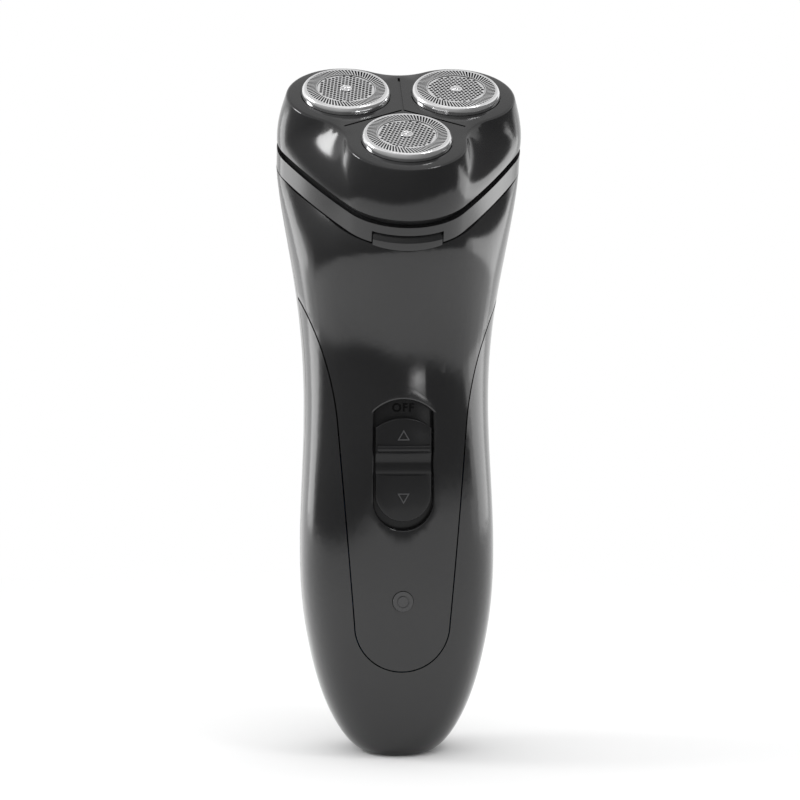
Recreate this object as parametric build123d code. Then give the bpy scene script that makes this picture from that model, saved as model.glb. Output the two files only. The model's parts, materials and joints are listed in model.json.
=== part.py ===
from build123d import *
import math
import os

os.makedirs("parts", exist_ok=True)

# Cordless shaver with three rotary heads, in millimetres. It stands on its foot at Z = 0 with
# the handle along +Z and the front facing -Y. The head leans forward by head_tilt.

# Gear train, which also sets the circle that the three cutters stand on
gear_module = 0.6
pinion_teeth = 18
drive_teeth = 32
tooth_share = 0.40
gear_thickness = 2.4
cutter_circle = gear_module * (pinion_teeth + drive_teeth) / 2

# Clearances
part_line = 0.30
slide_fit = 0.15
running_fit = 0.06
seat_fit = 0.12
liner_fit = 0.30

# Handle, by its stations from the foot to the seam under the head
foot_half_width = 6.8
foot_front = 9.0
foot_back = 8.0
foot_round = 2.2
grip_height = 46.0
grip_half_width = 23.2
grip_front = 20.0
grip_back = 18.8
grip_round = 2.9
grip_set_back = 4.6
foot_curve = 1.88
waist_height = 84.0
waist_half_width = 22.2
waist_front = 19.8
waist_back = 21.6
waist_round = 2.5
waist_set_back = 8.8
neck_height = 103.0
neck_tilt = 10.0
neck_half_width = 23.5
neck_front = 21.5
neck_back = 22.6
neck_round = 2.3
neck_set_back = 8.1
neck_taper = 0.04
shoulder_height = 119.6
shoulder_tilt = 19.0
shoulder_shift = -0.8
shoulder_half_width = 26.2
shoulder_front = 26.2
shoulder_back = 22.6
shoulder_round = 2.15
shoulder_set_back = 5.4
shoulder_taper = 0.10
wall = 1.8
floor_share = 0.10
split_y = 2.5
handle_axis_y = 7.8

# Head, measured along its own tilted axis from the seam
head_tilt = 28.0
seam_y = -3.25
seam_z = 136.6
collar_height = 4.90
collar_gap = 0.45
groove_height = 1.9
cap_height = 12.1
lip_lobe_radius = 16.0
lip_side_reach = 24.0
face_lobe_radius = 13.9
face_valley_reach = 17.8
cap_wall = 1.6
cap_edge_round = 0.8
face_groove_length = 16.2
face_groove_width = 0.55
face_groove_depth = 0.45
neck_ring_wall = 1.2
neck_ring_lap = 2.2

# Guards and cutters
guard_radius = 10.45
guard_rise = 1.9
guard_sheet = 0.5
guard_wall = 0.6
guard_edge_round = 0.7
guard_flange_radius = 11.4
guard_flange_thickness = 0.7
guard_slot_count = 54
guard_slot_inner = 7.0
guard_slot_outer = 9.45
guard_slot_width = 0.46
guard_disc_radius = 6.6
guard_hole_pitch = 1.6
guard_hole_width = 0.9
guard_boss_radius = 1.45
guard_boss_rise = 0.35
float_travel = 1.5
cutter_radius = 9.3
cutter_blade_count = 12
cutter_blade_length = 2.4
cutter_blade_thickness = 0.5
cutter_disc_thickness = 0.9
cutter_disc_drop = 2.2
cutter_hub_radius = 4.2
cutter_hub_height = 2.2
blade_gap = 0.1

# Retaining frame and its lock
frame_thickness = 1.4
frame_drop = 0.3
frame_hub_hole = 5.0
frame_ring_width = 1.3
frame_window_outer = 10.4
frame_spoke = 1.7
lock_radius = 4.0
lock_height = 2.4
lock_wing_length = 13.0
lock_wing_width = 3.2
lock_post_radius = 1.5
lock_boss_radius = 3.1

# Drive under the seam
deck_drop = 0.4
deck_thickness = 2.2
deck_boss_radius = 5.4
deck_boss_rise = 1.6
gear_gap = 0.5
gear_plate_thickness = 2.0
hub_radius = 4.0
hub_rise = 2.0
hub_floor = 1.0
hex_bore = 5.3
hex_shank = 5.0
axle_radius = 1.2
axle_reach = 1.9
spindle_radius = 1.9
spindle_neck = 6.0
spindle_blade_width = 4.4
spindle_blade_thickness = 1.5
spindle_blade_height = 1.7
spindle_grip = 0.8
socket_play = 0.8
spring_wall = 0.8
motor_radius = 10.05
motor_flat = 15.1
motor_length = 22.0
motor_end_length = 3.0
motor_boss_radius = 2.9
motor_boss_height = 1.5
shaft_radius = 1.0
shaft_depth = 6.0

# Hinge at the back of the collar
hinge_offset = 2.3
hinge_barrel_radius = 1.8
hinge_pin_radius = 0.8
hinge_centre_length = 7.0
hinge_side_length = 4.0

# Release button, half in the collar and half in the front cover
release_half_width = 8.0
release_rise = 2.7
release_sag = 0.45
release_bevel = 1.15
release_edge_round = 0.25
release_depth = 3.2
release_proud = 0.35
release_travel = 1.2
release_fit = 0.25
release_slit = 0.60

# Front cover tongue
tongue_bottom = 22.0
tongue_radius = 11.1
tongue_flare_height = 80.0
tongue_flare_half_width = 15.0
tongue_edge_height = 110.5
tongue_edge_half_width = 24.6

# Slide switch
slot_half_width = 6.95
slot_bottom = 55.7
slot_top = 86.4
slot_sag = 3.0
slot_depth = 2.6
slot_rim = 1.1
slot_edge_round = 0.5
button_rise = 0.25
button_edge_round = 0.35
slot_floor = 1.2
button_half_width = 6.5
button_bottom = 57.8
button_top = 82.1
button_sag = 2.3
notch_height = 71.5
notch_radius = 3.6
notch_depth = 1.25
ridge_height = 75.0
ridge_radius = 0.85
ridge_rise = 0.75
stem_half_width = 2.0
stem_height = 6.0
contact_half_width = 4.5
contact_height = 14.0
contact_thickness = 1.2
switch_travel = 3.9

# Indicator, board and cells
lens_height = 38.9
lens_radius = 2.4
lens_proud = 0.45
led_radius = 1.5
board_front = 13.9
board_thickness = 1.6
board_half_width = 9.5
board_bottom = 29.0
board_top = 92.0
standoff_radius = 1.7
standoff_inset = 2.6
cell_radius = 7.1
cell_length = 49.0
cell_nub_radius = 2.7
cell_nub_height = 1.2
cell_bottom = 24.0
cell_y = 1.5
cell_gap = 0.5
tray_wall = 1.4
tray_fit = 0.2
strap_thickness = 0.4
strap_half_width = 2.5
rib_half_width = 0.8

# Power inlet in the foot
inlet_half_length = 6.3
inlet_half_width = 3.9
inlet_wall = 1.0
inlet_recess = 0.5
inlet_well = 9.0
inlet_top = 12.0
inlet_flange = 1.3
inlet_flange_thickness = 1.4
pin_radius = 1.2
pin_spacing = 6.6
pin_inset = 2.0

# Housing screws, from the back
screw_low_z = 18.4
screw_high_z = 92.0
screw_high_x = 14.0
screw_boss_radius = 2.7
screw_head_radius = 2.1
screw_head_height = 1.6
screw_shank_radius = 1.1
screw_land = 1.8
screw_length = 9.0

LEFT = (-cutter_circle * math.sin(math.radians(60)), cutter_circle / 2)
RIGHT = (cutter_circle * math.sin(math.radians(60)), cutter_circle / 2)
FRONT = (0.0, -cutter_circle)
STATIONS = {"front": (FRONT, -90.0), "left": (LEFT, 150.0), "right": (RIGHT, 30.0)}

# Levels along the head's axis
collar_bottom = collar_gap
collar_top = collar_bottom + collar_height
lip_z = collar_top + groove_height
face_z = lip_z + cap_height
under_face = face_z - cap_wall
guard_top = face_z + guard_rise
flange_top = under_face - 0.2
cutter_disc_bottom = under_face - cutter_disc_drop
cutter_hub_bottom = cutter_disc_bottom - cutter_hub_height
frame_top = cutter_hub_bottom - frame_drop
frame_bottom = frame_top - frame_thickness
deck_top = -deck_drop
deck_bottom = deck_top - deck_thickness
gear_top = deck_bottom - gear_gap
gear_bottom = gear_top - gear_thickness
plate_top = gear_bottom - gear_gap
plate_bottom = plate_top - gear_plate_thickness
spindle_top = cutter_hub_bottom + spindle_grip
spindle_bottom = gear_bottom + hub_floor + axle_reach + float_travel + 0.6

head_plane = Plane(
    origin=(0, seam_y, seam_z),
    x_dir=(1, 0, 0),
    z_dir=(0, -math.sin(math.radians(head_tilt)), math.cos(math.radians(head_tilt))),
)
head_place = head_plane.location


def trefoil(lobe_radius, side_reach):
    """Closed outline of three lobes on the cutter circle, joined by tangent arcs that come
    within side_reach of the middle: hollow valleys when it is small, bulging sides when large."""
    a = cutter_circle
    v = side_reach
    joint_radius = (a * a + v * v - a * v - lobe_radius**2) / (2 * lobe_radius + a - 2 * v)
    hollow = 1.0 if joint_radius > 0 else -1.0
    edges = []

    def polar(angle, distance):
        turn = math.radians(angle)
        return Vector(distance * math.cos(turn), distance * math.sin(turn))

    def tangent_point(lobe_angle, side_angle):
        lobe = polar(lobe_angle, a)
        toward = (polar(side_angle, v + joint_radius) - lobe).normalized()
        return lobe + toward * (lobe_radius * hollow)

    for lobe_angle in (-90, 30, 150):
        start = tangent_point(lobe_angle, lobe_angle - 60)
        end = tangent_point(lobe_angle, lobe_angle + 60)
        following = tangent_point(lobe_angle + 120, lobe_angle + 60)
        edges.append(ThreePointArc(start, polar(lobe_angle, a + lobe_radius), end))
        edges.append(ThreePointArc(end, polar(lobe_angle + 60, v), following))
    return make_face(edges)


def prism(outline, low, high):
    return extrude(Pos(0, 0, low) * outline, amount=high - low)


def lobed_reach(angle):
    """Distance from the seam's middle to its outline, along one direction in degrees."""
    flat = lip_side_reach
    best = math.inf
    for side_angle in (-150, -30, 90):
        lean = math.cos(math.radians(angle - side_angle))
        if lean > 0.5:
            along = flat * math.tan(math.radians(angle - side_angle))
            if abs(along) <= cutter_circle * math.sin(math.radians(60)):
                best = flat / lean
    if best < math.inf:
        return best
    for lobe_angle in (-90, 30, 150):
        off = math.radians(angle - lobe_angle)
        if math.cos(off) > 0.5:
            reach = cutter_circle * math.cos(off)
            return reach + math.sqrt(lip_lobe_radius**2 - (cutter_circle * math.sin(off)) ** 2)


def oval_outline(half_width, front, back, power, taper, set_back):
    """Rounded section from front to back, widest at set_back behind its axis."""
    points = []
    for step in range(32):
        angle = math.radians(90 + step * 360 / 32)
        depth = back - set_back if math.sin(angle) > 0 else front + set_back
        across = abs(math.cos(angle) / half_width) ** power
        along = abs(math.sin(angle) / depth) ** power
        reach = (across + along) ** (-1 / power)
        y = reach * math.sin(angle)
        points.append((reach * math.cos(angle) * (1 + taper * y / depth), y + set_back))
    return points


def seam_outline():
    points = []
    for step in range(32):
        angle = 90 + step * 360 / 32
        reach = lobed_reach(angle)
        points.append((reach * math.cos(math.radians(angle)), reach * math.sin(math.radians(angle))))
    return points


def grown(points, amount):
    """The same closed outline moved outward by amount, or inward when it is negative."""
    moved = []
    for index, (x, y) in enumerate(points):
        before = points[index - 1]
        after = points[(index + 1) % len(points)]
        along = Vector(after[0] - before[0], after[1] - before[1]).normalized()
        moved.append((x + along.Y * amount, y - along.X * amount))
    return moved


def handle_solid(growth, from_share=0.0, overrun=0.0):
    """The handle's outer form, grown by growth all round, from a share of the grip height up."""
    faces = []

    def station(plane, points):
        placed = [plane.from_local_coords((x, y, 0)) for x, y in grown(points, growth)]
        faces.append(Face(Wire([Spline(placed, periodic=True)])))

    for share in (0.0, 0.03, 0.10, 0.22, 0.40, 0.65, 1.0):
        if share < from_share:
            continue
        swell = (1 - (1 - share) ** foot_curve) ** (1 / foot_curve)
        station(
            Plane(origin=(0, 0, share * grip_height)),
            oval_outline(
                foot_half_width + (grip_half_width - foot_half_width) * swell,
                foot_front + (grip_front - foot_front) * swell,
                foot_back + (grip_back - foot_back) * swell,
                foot_round + (grip_round - foot_round) * swell,
                0.0,
                grip_set_back * swell,
            ),
        )
    station(
        Plane(origin=(0, 0, waist_height)),
        oval_outline(waist_half_width, waist_front, waist_back, waist_round, 0.0, waist_set_back),
    )
    station(
        Plane(origin=(0, 0, neck_height)).rotated((neck_tilt, 0, 0)),
        oval_outline(neck_half_width, neck_front, neck_back, neck_round, neck_taper, neck_set_back),
    )
    station(
        Plane(origin=(0, shoulder_shift, shoulder_height)).rotated((shoulder_tilt, 0, 0)),
        oval_outline(
            shoulder_half_width,
            shoulder_front,
            shoulder_back,
            shoulder_round,
            shoulder_taper,
            shoulder_set_back,
        ),
    )
    station(head_plane, seam_outline())
    solid = loft(faces)
    if overrun:
        solid = solid + extrude(faces[-1], amount=overrun, dir=head_plane.z_dir)
    return solid


def tongue_outline(growth):
    """Front view of the front cover: a U that flares out to the sides of the neck."""
    bottom = tongue_bottom - growth
    radius = tongue_radius + growth
    centre_z = bottom + radius
    flare = tongue_flare_half_width + growth
    edge = tongue_edge_half_width + growth
    lean = Vector(flare - radius, tongue_flare_height - centre_z)
    beyond = 60.0
    slant = math.sqrt(0.5)
    right = [
        ThreePointArc((0, bottom), (radius * slant, centre_z - radius * slant), (radius, centre_z)),
        Line((radius, centre_z), (flare, tongue_flare_height)),
        TangentArc((flare, tongue_flare_height), (edge, tongue_edge_height), tangent=lean),
        Line((edge, tongue_edge_height), (edge + beyond * 0.5, tongue_edge_height + beyond)),
        Line((edge + beyond * 0.5, tongue_edge_height + beyond), (0, tongue_edge_height + beyond)),
        Line((0, tongue_edge_height + beyond), (0, bottom)),
    ]
    half = make_face(right)
    return half + mirror(half, about=Plane.YZ)


def slot_outline(half_width, bottom, top, sag):
    """Front view of the switch: round below, a shallow arc above."""
    centre_z = bottom + half_width
    return make_face(
        [
            ThreePointArc((-half_width, centre_z), (0, bottom), (half_width, centre_z)),
            Line((half_width, centre_z), (half_width, top - sag)),
            ThreePointArc((half_width, top - sag), (0, top), (-half_width, top - sag)),
            Line((-half_width, top - sag), (-half_width, centre_z)),
        ]
    )


def skin_edges(solid, half_width, bottom, top, behind):
    """Edges inside a front-view window that lie on the outer skin, ahead of a depth along Y."""
    found = []
    for edge in solid.edges():
        box = edge.bounding_box()
        inside = box.min.Z > bottom - 0.5 and box.max.Z < top + 0.5 and box.max.X < half_width + 0.5
        if inside and edge.center().Y < behind and edge.length > 4:
            found.append(edge)
    return found


def through_front(outline, front, back):
    """A front-view outline made solid between two depths along Y."""
    plane = Plane(origin=(0, front, 0), x_dir=(1, 0, 0), z_dir=(0, -1, 0))
    return extrude(plane * outline, amount=-(back - front))


def block(x_low, x_high, y_low, y_high, z_low, z_high):
    size = Box(x_high - x_low, y_high - y_low, z_high - z_low)
    return Pos((x_low + x_high) / 2, (y_low + y_high) / 2, (z_low + z_high) / 2) * size


def rod(radius, low, high):
    return Pos(0, 0, (low + high) / 2) * Cylinder(radius, high - low)


def rod_y(radius, x, z, low, high):
    return Pos(x, (low + high) / 2, z) * Rot(90, 0, 0) * Cylinder(radius, high - low)


def hex_rod(across, low, high):
    return prism(RegularPolygon(across / 2, 6, major_radius=False), low, high)


def spur(teeth, low, high, gap_angle):
    """Straight-flanked spur gear with the middle of a tooth gap at gap_angle."""
    pitch = gear_module * teeth / 2
    root = pitch - 1.15 * gear_module
    tip = pitch + 0.9 * gear_module
    step = 360 / teeth
    half = step * tooth_share / 2
    slope = math.degrees(gear_module * math.tan(math.radians(20)) / pitch)
    points = []
    for tooth in range(teeth):
        middle = gap_angle + step * (tooth + 0.5)
        for radius, angle in (
            (root, middle - half - 1.0 * slope),
            (tip, middle - half + 0.9 * slope),
            (tip, middle + half - 0.9 * slope),
            (root, middle + half + 1.0 * slope),
        ):
            turn = math.radians(angle)
            points.append((radius * math.cos(turn), radius * math.sin(turn)))
    return prism(make_face(Polyline(points, close=True)), low, high)


def head_cap():
    heights = (0.0, 0.30, 0.64, 1.0)
    lobes = (1.0, 0.93, 0.57, 0.0)
    sides = (1.0, 0.90, 0.55, 0.0)

    def form(inset, low, high):
        faces = []
        for height, lobe, side in zip(heights, lobes, sides):
            outline = trefoil(
                face_lobe_radius + (lip_lobe_radius - face_lobe_radius) * lobe - inset,
                face_valley_reach + (lip_side_reach - face_valley_reach) * side - inset,
            )
            faces.append(Pos(0, 0, low + (high - low) * height) * outline)
        return loft(faces)

    outer = form(0.0, lip_z, face_z)
    outer = fillet(outer.faces().sort_by(Axis.Z)[-1].edges(), cap_edge_round)
    cavity = form(cap_wall, lip_z, under_face)
    body = outer - cavity
    body += rod(lock_boss_radius, frame_top + frame_drop, under_face + 0.1)
    body -= rod(lock_post_radius + running_fit, frame_top, under_face - 0.4)
    for (x, y), angle in STATIONS.values():
        body -= Pos(x, y, 0) * rod(guard_radius + slide_fit, under_face - 1, face_z + 1)
        half = face_groove_width / 2
        arm = block(0, face_groove_length, -half, half, face_z - face_groove_depth, face_z + 1)
        body -= Rot(0, 0, angle + 60) * arm
    frame_form = form(cap_wall + liner_fit, lip_z, under_face)
    return body, frame_form


def guard():
    low = flange_top - guard_flange_thickness
    shell = rod(guard_radius, low, guard_top)
    shell = fillet(shell.edges().sort_by(Axis.Z)[-1], guard_edge_round)
    shell -= rod(guard_radius - guard_wall, low - 1, guard_top - guard_sheet)
    flange = rod(guard_flange_radius, low, flange_top)
    shell += flange - rod(guard_radius - guard_wall, low - 1, flange_top + 1)
    shell += rod(guard_boss_radius, guard_top - 0.1, guard_top + guard_boss_rise)
    cuts = []
    slot = Rectangle(guard_slot_outer - guard_slot_inner, guard_slot_width)
    for index in range(guard_slot_count):
        middle = (guard_slot_inner + guard_slot_outer) / 2
        cuts.append(Rot(0, 0, index * 360 / guard_slot_count) * Pos(middle, 0) * Rot(0, 0, 20) * slot)
    reach = int(guard_disc_radius / guard_hole_pitch)
    nearest = guard_boss_radius + guard_hole_width / 2
    farthest = guard_disc_radius - guard_hole_width / 2
    for column in range(-reach, reach + 1):
        for row in range(-reach, reach + 1):
            distance = guard_hole_pitch * math.hypot(column, row)
            if nearest < distance < farthest:
                place = Pos(column * guard_hole_pitch, row * guard_hole_pitch)
                cuts.append(place * Rectangle(guard_hole_width, guard_hole_width))
    under = guard_top - guard_sheet - 0.5
    return shell - extrude(Pos(0, 0, under) * Sketch(children=cuts), amount=guard_sheet + 1)


def cutter():
    blade_top = guard_top - guard_sheet - blade_gap
    body = rod(cutter_radius, cutter_disc_bottom, cutter_disc_bottom + cutter_disc_thickness)
    body += rod(cutter_hub_radius, cutter_hub_bottom, cutter_disc_bottom + 0.1)
    socket_length = spindle_blade_width + 2 * socket_play
    socket_width = spindle_blade_thickness + 2 * socket_play
    body -= block(
        -socket_length / 2,
        socket_length / 2,
        -socket_width / 2,
        socket_width / 2,
        cutter_hub_bottom - 1,
        cutter_disc_bottom,
    )
    blade = block(
        cutter_radius - cutter_blade_length,
        cutter_radius - 0.1,
        -cutter_blade_thickness / 2,
        cutter_blade_thickness / 2,
        cutter_disc_bottom + cutter_disc_thickness - 0.1,
        blade_top,
    )
    for index in range(cutter_blade_count):
        body += Rot(0, 0, (index + 0.5) * 360 / cutter_blade_count) * blade
    return body


def retaining_frame(cap_inside):
    span = 2 * (lip_lobe_radius + cutter_circle)
    body = cap_inside & block(-span, span, -span, span, frame_bottom, frame_top)
    body -= rod(lock_post_radius + seat_fit, frame_bottom - 1, frame_top + 1)
    ring = frame_hub_hole + frame_ring_width
    for (x, y), angle in STATIONS.values():
        window = Circle(frame_window_outer) - Circle(ring)
        for turn in range(4):
            spoke = Pos(frame_window_outer / 2, 0) * Rectangle(frame_window_outer, frame_spoke)
            window -= Rot(0, 0, angle + turn * 90) * spoke
        body -= Pos(x, y, 0) * prism(window, frame_bottom - 1, frame_top + 1)
        body -= Pos(x, y, 0) * rod(frame_hub_hole, frame_bottom - 1, frame_top + 1)
    return body


def lock_knob():
    top = frame_bottom - seat_fit
    body = rod(lock_radius, top - lock_height, top)
    body += block(
        -lock_wing_width / 2,
        lock_wing_width / 2,
        -lock_wing_length / 2,
        lock_wing_length / 2,
        top - lock_height,
        top - lock_height / 3,
    )
    body += rod(lock_post_radius, top - 0.1, under_face - 0.8)
    return body


def release_notch(growth, slit, travel):
    """Front view, along the head's own Y: flat on top, a shallow arc below. The room for the
    button has a growth all round, a slit over it and the travel behind it."""
    half = release_half_width + growth
    top = release_rise + slit
    outline = make_face(
        [
            Line((half, 0), (half, top)),
            Line((half, top), (-half, top)),
            Line((-half, top), (-half, 0)),
            ThreePointArc((-half, 0), (0, -release_sag - growth), (half, 0)),
        ]
    )
    reach = cutter_circle + lip_lobe_radius
    plane = Plane(origin=(0, -reach - 6, 0), x_dir=(1, 0, 0), z_dir=(0, -1, 0))
    return extrude(plane * outline, amount=-(6 + release_depth + growth + travel))


def release_button():
    reach = cutter_circle + lip_lobe_radius
    form = prism(trefoil(lip_lobe_radius + release_proud, lip_side_reach + release_proud), -6, 10)
    body = release_notch(0.0, 0.0, 0.0) & form
    top_edge = body.faces().sort_by(Axis.Z)[-1].edges().sort_by(Axis.Y)[0]
    body = chamfer(top_edge, release_bevel)
    bevel_edge = body.faces().sort_by(Axis.Y)[0].edges().sort_by(Axis.Z)[-1]
    body = fillet(bevel_edge, release_edge_round)
    arm_start = -reach + release_depth - 0.1
    arm = block(-3.0, 3.0, arm_start, arm_start + 2.1, 0.2, release_rise - 0.4)
    return body + arm


def hinge_barrel(x_low, x_high, radius):
    y = lip_side_reach + hinge_offset
    return Pos((x_low + x_high) / 2, y, 0) * Rot(0, 90, 0) * Cylinder(radius, x_high - x_low)


def collar():
    band = prism(trefoil(lip_lobe_radius, lip_side_reach), collar_bottom, collar_top)
    inside = trefoil(lip_lobe_radius - cap_wall, lip_side_reach - cap_wall)
    band -= prism(inside, collar_bottom - 1, collar_top + 1)
    band -= release_notch(release_fit, release_slit, release_travel)
    inner = hinge_centre_length / 2 + slide_fit
    outer = inner + hinge_side_length
    for side in (-1, 1):
        low, high = sorted((side * inner, side * outer))
        knuckle = hinge_barrel(low, high, hinge_barrel_radius)
        web_inside = lip_side_reach - cap_wall / 2
        web_outside = lip_side_reach + hinge_offset
        web = block(low, high, web_inside, web_outside, collar_bottom, hinge_barrel_radius)
        band += knuckle + web
    band -= hinge_barrel(-outer - 1, outer + 1, hinge_pin_radius + running_fit)
    return band


def hinge_pin():
    outer = hinge_centre_length / 2 + slide_fit + hinge_side_length
    return hinge_barrel(-outer, outer, hinge_pin_radius)


def neck_ring():
    inset = cap_wall + seat_fit
    low = collar_bottom + collar_height / 2
    high = lip_z + neck_ring_lap
    ring = prism(trefoil(lip_lobe_radius - inset, lip_side_reach - inset), low, lip_z - 0.05)
    lap_inset = inset + 0.45
    ring += prism(trefoil(lip_lobe_radius - lap_inset, lip_side_reach - lap_inset), low, high)
    bore = inset + neck_ring_wall
    return ring - prism(trefoil(lip_lobe_radius - bore, lip_side_reach - bore), low - 1, high + 1)


def drive_gear():
    body = spur(drive_teeth, gear_bottom, gear_top, 180)
    body += rod(hub_radius, gear_bottom, hub_rise)
    body -= hex_rod(hex_bore, gear_bottom + hub_floor, hub_rise + 1)
    body -= rod(axle_radius + running_fit, gear_bottom - 1, gear_top)
    return body


def spindle():
    body = Rot(0, 0, 30) * hex_rod(hex_shank, spindle_bottom, spindle_neck)
    body += rod(spindle_radius, spindle_neck - 0.1, spindle_top - spindle_blade_height)
    body += block(
        -spindle_blade_width / 2,
        spindle_blade_width / 2,
        -spindle_blade_thickness / 2,
        spindle_blade_thickness / 2,
        spindle_top - spindle_blade_height,
        spindle_top,
    )
    return body


def spindle_spring():
    low = gear_bottom + hub_floor
    outer = hex_bore / 2 - 0.2
    return rod(outer, low, spindle_bottom) - rod(outer - spring_wall, low - 1, spindle_bottom + 1)


def motor_pinion():
    body = spur(pinion_teeth, gear_bottom, gear_top, -90 + 180 / pinion_teeth)
    return body + rod(shaft_radius, plate_bottom - shaft_depth, gear_top + 0.3)


def motor_can():
    can = rod(motor_radius, plate_bottom - motor_length, plate_bottom)
    can &= block(-20, 20, -motor_flat / 2, motor_flat / 2, plate_bottom - motor_length, plate_bottom)
    can += rod(motor_boss_radius, plate_bottom - 0.1, plate_bottom + motor_boss_height)
    return can - rod(shaft_radius + running_fit, plate_bottom - shaft_depth - 0.5, plate_bottom + 5)


def motor_end_cap():
    high = plate_bottom - motor_length
    low = high - motor_end_length
    cap = rod(motor_radius - 0.4, low, high)
    cap &= block(-20, 20, -motor_flat / 2 + 0.4, motor_flat / 2 - 0.4, low, high)
    for side in (-1, 1):
        x = side * motor_radius * 0.55
        cap += block(x - 1.2, x + 1.2, -0.25, 0.25, low - 3.0, low + 0.1)
    return cap


def screw_sites():
    return [(0.0, screw_low_z), (-screw_high_x, screw_high_z), (screw_high_x, screw_high_z)]


outer_form = handle_solid(0.0)
inner_form = handle_solid(-wall, floor_share, 3.0)
liner_form = handle_solid(-wall - liner_fit, floor_share)
root_form = handle_solid(-wall / 2, floor_share)
button_form = handle_solid(button_rise)

shell = outer_form - inner_form
shell -= head_place * release_notch(release_fit, release_slit, release_travel)
far = 200.0
front_half = block(-far, far, -far, split_y - part_line, -far, far)
rear_half = block(-far, far, split_y, far, -far, far)

# Front of the switch, its floor and the pocket behind the floor
floor_front = -waist_front + slot_depth
floor_back = floor_front + slot_floor
rim_outline = slot_outline(
    slot_half_width + slot_rim,
    slot_bottom - slot_rim,
    slot_top + slot_rim,
    slot_sag,
)
well_outline = slot_outline(slot_half_width, slot_bottom, slot_top, slot_sag)
stem_z = (button_bottom + button_top) / 2

inlet_y = (foot_back - foot_front) / 2


def oblong(half_width, half_length, low, high):
    outline = SlotOverall(2 * half_length, 2 * half_width)
    return Pos(0, inlet_y, 0) * prism(Rot(0, 0, 90) * outline, low, high)


inlet_hole = oblong(inlet_half_width + seat_fit, inlet_half_length + seat_fit, -5, 60)
inlet_hole &= block(-far, far, -far, far, -5, floor_share * grip_height + 1)

# Front cover: the neck and the tongue, with the board's standoffs and the upper screw bosses
front_cover = shell & front_half & through_front(tongue_outline(0.0), -80, split_y)
front_cover -= through_front(well_outline, -60, floor_front)
slot_rim_edges = skin_edges(front_cover, slot_half_width, slot_bottom, slot_top, -waist_front + wall / 2)
front_cover = fillet(slot_rim_edges, slot_edge_round)
for side in (-1, 1):
    for z in (board_bottom + standoff_inset, board_top - standoff_inset):
        post = rod_y(standoff_radius, side * (board_half_width - standoff_inset), z, -40, -board_front)
        front_cover += post & root_form
    boss = rod_y(screw_boss_radius, side * screw_high_x, screw_high_z, -40, split_y - part_line)
    front_cover += boss & root_form
front_cover -= rod_y(lens_radius + seat_fit, 0, lens_height, -60, -board_front)

grip_shell = (shell & front_half) - through_front(tongue_outline(part_line), -80, split_y)
low_boss = rod_y(screw_boss_radius, 0, screw_low_z, -40, split_y - part_line) & root_form
grip_shell += low_boss - inlet_hole
grip_shell -= inlet_hole

rear_shell = shell & rear_half
tray_back = cell_y + cell_radius + tray_fit + tray_wall
for side in (-1, 1):
    rib = block(
        side * cell_radius - rib_half_width,
        side * cell_radius + rib_half_width,
        tray_back + seat_fit,
        60,
        cell_bottom,
        cell_bottom + cell_length,
    )
    rear_shell += rib & root_form
knuckle = hinge_barrel(-hinge_centre_length / 2, hinge_centre_length / 2, hinge_barrel_radius)
knuckle += block(
    -hinge_centre_length / 2,
    hinge_centre_length / 2,
    lip_side_reach - wall / 2,
    lip_side_reach + hinge_offset,
    -hinge_barrel_radius,
    0,
)
knuckle -= hinge_barrel(-20, 20, hinge_pin_radius + running_fit)
rear_shell += head_place * knuckle
screws = []
for x, z in screw_sites():
    boss = rod_y(screw_boss_radius, x, z, split_y, 60) & root_form
    rear_shell += boss
    bore = rod_y(screw_shank_radius + slide_fit, x, z, 0, 60)
    bore += rod_y(screw_head_radius + slide_fit, x, z, split_y + screw_land, 60)
    rear_shell -= bore
    pilot = rod_y(screw_shank_radius + 0.02, x, z, split_y - screw_length, split_y)
    if z == screw_low_z:
        grip_shell -= pilot
    else:
        front_cover -= pilot
    head = rod_y(screw_head_radius, x, z, split_y + screw_land, split_y + screw_land + screw_head_height)
    slot_y = split_y + screw_land + screw_head_height
    head -= block(x - 0.3, x + 0.3, slot_y - 0.6, slot_y + 1, z - 1.4, z + 1.4)
    head -= block(x - 1.4, x + 1.4, slot_y - 0.6, slot_y + 1, z - 0.3, z + 0.3)
    shank = rod_y(screw_shank_radius, x, z, split_y - screw_length + 0.5, split_y + screw_land + 0.1)
    screws.append(head + shank)
rear_shell -= inlet_hole

# Switch frame, button and the contact behind the frame
switch_frame = liner_form & through_front(rim_outline, -60, floor_back)
switch_frame -= through_front(well_outline, -60, floor_front)
stem_slot_half = stem_half_width + slide_fit
switch_frame -= block(
    -stem_slot_half,
    stem_slot_half,
    floor_front - 1,
    floor_back + 1,
    stem_z - stem_height / 2 - slide_fit,
    stem_z + stem_height / 2 + switch_travel + slide_fit,
)
button_outline = slot_outline(button_half_width, button_bottom, button_top, button_sag)
switch_button = button_form & through_front(button_outline, -60, floor_front - slide_fit)
skin_depth = -waist_front + wall / 2
button_rim = skin_edges(switch_button, button_half_width, button_bottom, button_top, skin_depth)
switch_button = fillet(button_rim, button_edge_round)
trough = Pos(0, -waist_front - button_rise + notch_depth - notch_radius, notch_height) * Rot(0, 90, 0)
switch_button -= trough * Cylinder(notch_radius, 60)
ridge = Pos(0, -waist_front - button_rise - ridge_rise + ridge_radius, ridge_height) * Rot(0, 90, 0)
switch_button += ridge * Cylinder(ridge_radius, 2 * (button_half_width - button_edge_round))
switch_button += block(
    -stem_half_width,
    stem_half_width,
    floor_front - slide_fit - 0.1,
    floor_back + slide_fit,
    stem_z - stem_height / 2,
    stem_z + stem_height / 2,
)
switch_contact = block(
    -contact_half_width,
    contact_half_width,
    floor_back + slide_fit,
    floor_back + slide_fit + contact_thickness,
    stem_z - contact_height / 2,
    stem_z + contact_height / 2,
)

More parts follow.
